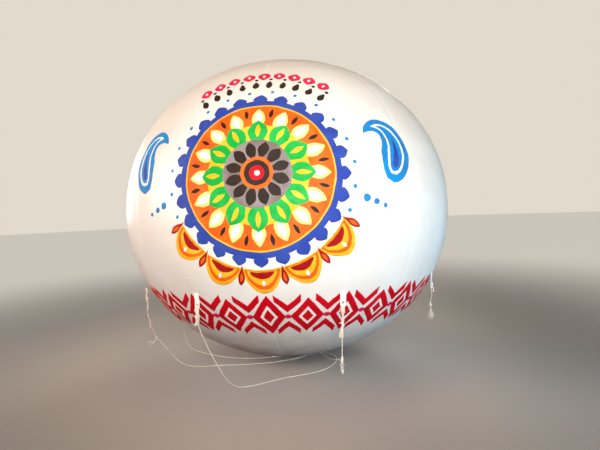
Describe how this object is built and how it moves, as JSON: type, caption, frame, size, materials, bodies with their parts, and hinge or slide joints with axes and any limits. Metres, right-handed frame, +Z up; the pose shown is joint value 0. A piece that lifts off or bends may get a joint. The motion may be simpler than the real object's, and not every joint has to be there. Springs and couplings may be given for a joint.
{
  "type": "advertising sky balloon",
  "caption": "Oblate gored advertising balloon with hanging load tabs, eyelets, a tied filler neck and suspension ropes that run to a steel load ring.",
  "frame": {"origin": "middle of the envelope at its widest, where the lift acts; the part is held there because a balloon rests on air", "axes": "+Z up through the crown, -Y out of the front seam that the painted design is centred on, +X to the right seen from the front"},
  "size_m": [3.66, 3.66, 3.3941],
  "materials": {
    "skin": "satin coated sheet",
    "tape": "coated webbing",
    "eyelet_metal": "nickel plated",
    "rope": "laid cotton rope",
    "ring_steel": "galvanised"
  },
  "bodies": {
    "envelope": {"gore_1": "skin", "gore_2": "skin", "gore_3": "skin", "gore_4": "skin", "gore_5": "skin", "gore_6": "skin", "gore_7": "skin", "gore_8": "skin", "crown_patch": "tape", "base_patch": "tape", "filler_neck": "tape", "neck_tie": "rope", "tab_patch_1": "tape", "tab_patch_2": "tape", "tab_patch_3": "tape", "tab_patch_4": "tape", "tab_patch_5": "tape", "tab_patch_6": "tape", "tab_patch_7": "tape", "tab_patch_8": "tape", "rope_1": "rope", "rope_6": "rope", "rope_7": "rope", "rope_8": "rope", "load_ring": "ring_steel"},
    "tab_1": {"load_tab_1": "tape", "eyelet_1": "eyelet_metal", "hitch_1": "rope"},
    "tab_2": {"load_tab_2": "tape", "eyelet_2": "eyelet_metal", "hitch_2": "rope", "rope_2": "rope"},
    "tab_3": {"load_tab_3": "tape", "eyelet_3": "eyelet_metal"},
    "tab_4": {"load_tab_4": "tape", "eyelet_4": "eyelet_metal"},
    "tab_5": {"load_tab_5": "tape", "eyelet_5": "eyelet_metal"},
    "tab_6": {"load_tab_6": "tape", "eyelet_6": "eyelet_metal", "hitch_6": "rope"},
    "tab_7": {"load_tab_7": "tape", "eyelet_7": "eyelet_metal", "hitch_7": "rope"},
    "tab_8": {"load_tab_8": "tape", "eyelet_8": "eyelet_metal", "hitch_8": "rope"}
  },
  "joints": [
    {"name": "tab_1_fold", "type": "hinge", "parent": "envelope", "child": "tab_1", "pos_m": [0.63939, -1.54363, -0.68181], "axis": [-0.9239, -0.3827, 0], "range_deg": [-15, 80]},
    {"name": "tab_2_fold", "type": "hinge", "parent": "envelope", "child": "tab_2", "pos_m": [1.54363, -0.63939, -0.68181], "axis": [-0.3827, -0.9239, 0], "range_deg": [-15, 80]},
    {"name": "tab_3_fold", "type": "hinge", "parent": "envelope", "child": "tab_3", "pos_m": [1.54363, 0.63939, -0.68181], "axis": [0.3827, -0.9239, 0], "range_deg": [-15, 80]},
    {"name": "tab_4_fold", "type": "hinge", "parent": "envelope", "child": "tab_4", "pos_m": [0.63939, 1.54363, -0.68181], "axis": [0.9239, -0.3827, 0], "range_deg": [-15, 80]},
    {"name": "tab_5_fold", "type": "hinge", "parent": "envelope", "child": "tab_5", "pos_m": [-0.63939, 1.54363, -0.68181], "axis": [0.9239, 0.3827, 0], "range_deg": [-15, 80]},
    {"name": "tab_6_fold", "type": "hinge", "parent": "envelope", "child": "tab_6", "pos_m": [-1.54363, 0.63939, -0.68181], "axis": [0.3827, 0.9239, 0], "range_deg": [-15, 80]},
    {"name": "tab_7_fold", "type": "hinge", "parent": "envelope", "child": "tab_7", "pos_m": [-1.54363, -0.63939, -0.68181], "axis": [-0.3827, 0.9239, 0], "range_deg": [-15, 80]},
    {"name": "tab_8_fold", "type": "hinge", "parent": "envelope", "child": "tab_8", "pos_m": [-0.63939, -1.54363, -0.68181], "axis": [-0.9239, 0.3827, 0], "range_deg": [-15, 80]}
  ]
}
